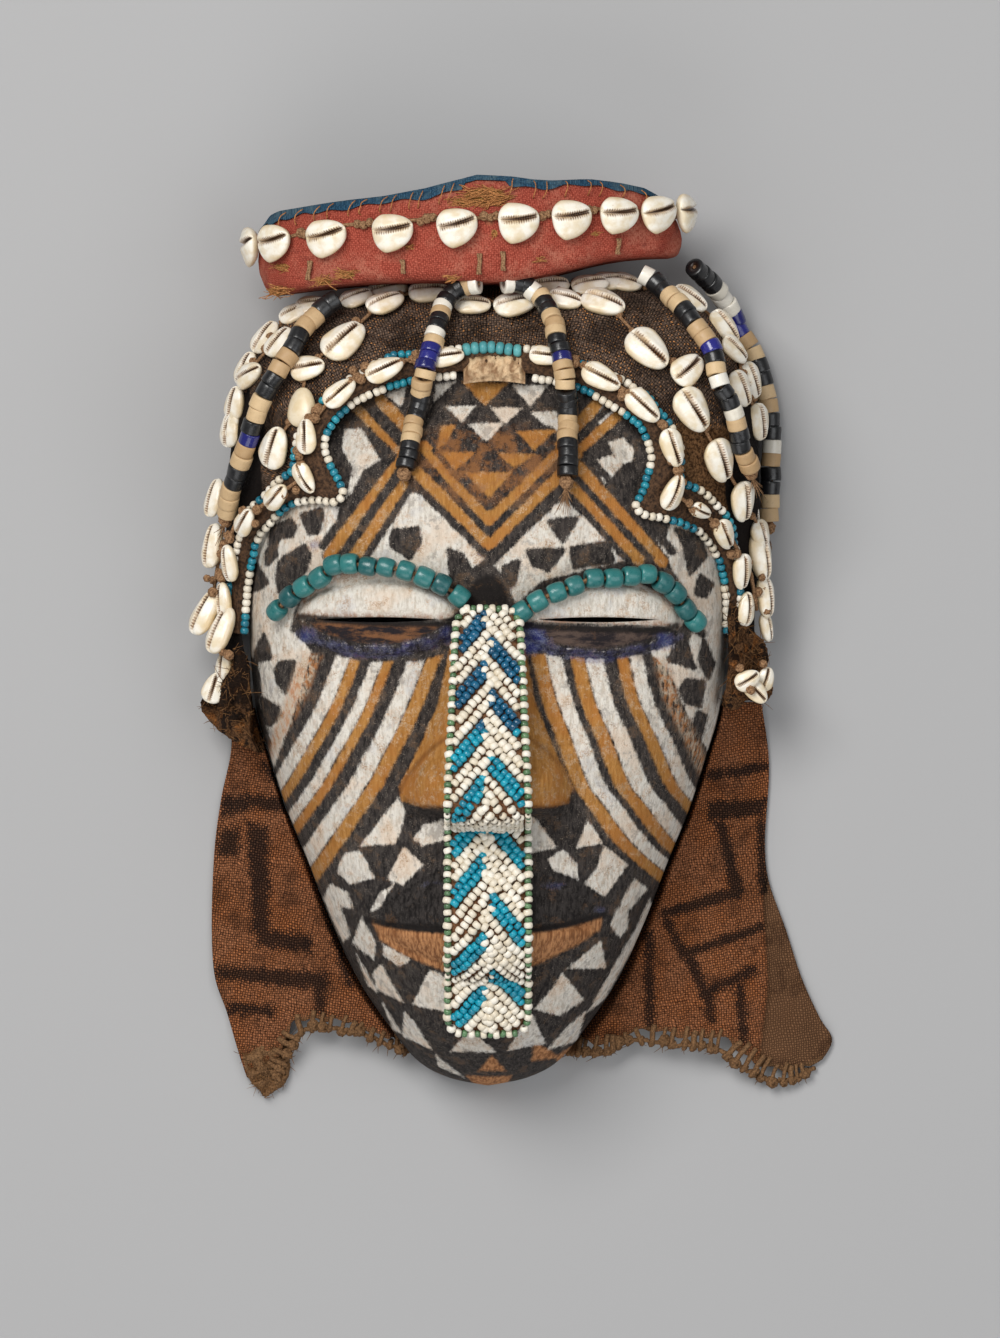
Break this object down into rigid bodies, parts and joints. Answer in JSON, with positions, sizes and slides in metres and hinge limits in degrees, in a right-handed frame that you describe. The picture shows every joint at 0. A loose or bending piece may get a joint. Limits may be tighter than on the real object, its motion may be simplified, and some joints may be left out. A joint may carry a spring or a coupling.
{
  "type": "cowrie shell mask",
  "caption": "Carved and painted wooden face mask with a cloth hood, stuffed red cap, cowrie shells, beadwork, hanging bead strands and two patterned cloth flaps, lying face up.",
  "frame": {"origin": "centre of the mask's footprint on the surface it lies on", "axes": "+Y towards the crown, +Z out of the face, +X towards the viewer's right"},
  "size_m": [0.2632, 0.3898, 0.1291],
  "materials": {
    "painted_wood": "carved wood, painted in chalky black, white and ochre, worn",
    "hood_cloth": "dark coarse woven cloth",
    "edging": "tan strip sewn with seed beads and small shells",
    "seed_beads": "small opaque glass beads on thread",
    "red_cloth": "faded red woven cloth",
    "blue_cloth": "worn indigo cloth",
    "brow_glass": "large green-blue glass beads",
    "flap_cloth": "brown raffia cloth with dark bars",
    "cowrie_shell": "polished cowrie shell",
    "disc_beads": "ground shell, stone and glass disc beads"
  },
  "bodies": {
    "root": {"wood_face": "painted_wood", "hood": "hood_cloth", "hairline_edging": "edging", "nose_band": "seed_beads", "cap_band": "red_cloth", "cap_cover": "blue_cloth", "brow_beads_left": "brow_glass", "cloth_flap_left": "flap_cloth", "brow_beads_right": "brow_glass", "cloth_flap_right": "flap_cloth", "cap_cowrie_1": "cowrie_shell", "cap_cowrie_2": "cowrie_shell", "cap_cowrie_3": "cowrie_shell", "cap_cowrie_4": "cowrie_shell", "cap_cowrie_5": "cowrie_shell", "cap_cowrie_6": "cowrie_shell", "cap_cowrie_7": "cowrie_shell", "cap_cowrie_8": "cowrie_shell", "cap_cowrie_9": "cowrie_shell", "cap_cowrie_10": "cowrie_shell", "hood_cowrie_1": "cowrie_shell", "hood_cowrie_2": "cowrie_shell", "hood_cowrie_3": "cowrie_shell", "hood_cowrie_4": "cowrie_shell", "hood_cowrie_5": "cowrie_shell", "hood_cowrie_6": "cowrie_shell", "hood_cowrie_7": "cowrie_shell", "hood_cowrie_8": "cowrie_shell", "hood_cowrie_9": "cowrie_shell", "hood_cowrie_10": "cowrie_shell", "hood_cowrie_11": "cowrie_shell", "hood_cowrie_12": "cowrie_shell", "bead_strand_1": "disc_beads", "bead_strand_2": "disc_beads", "bead_strand_3": "disc_beads", "bead_strand_4": "disc_beads", "bead_strand_5": "disc_beads"}
  },
  "joints": []
}
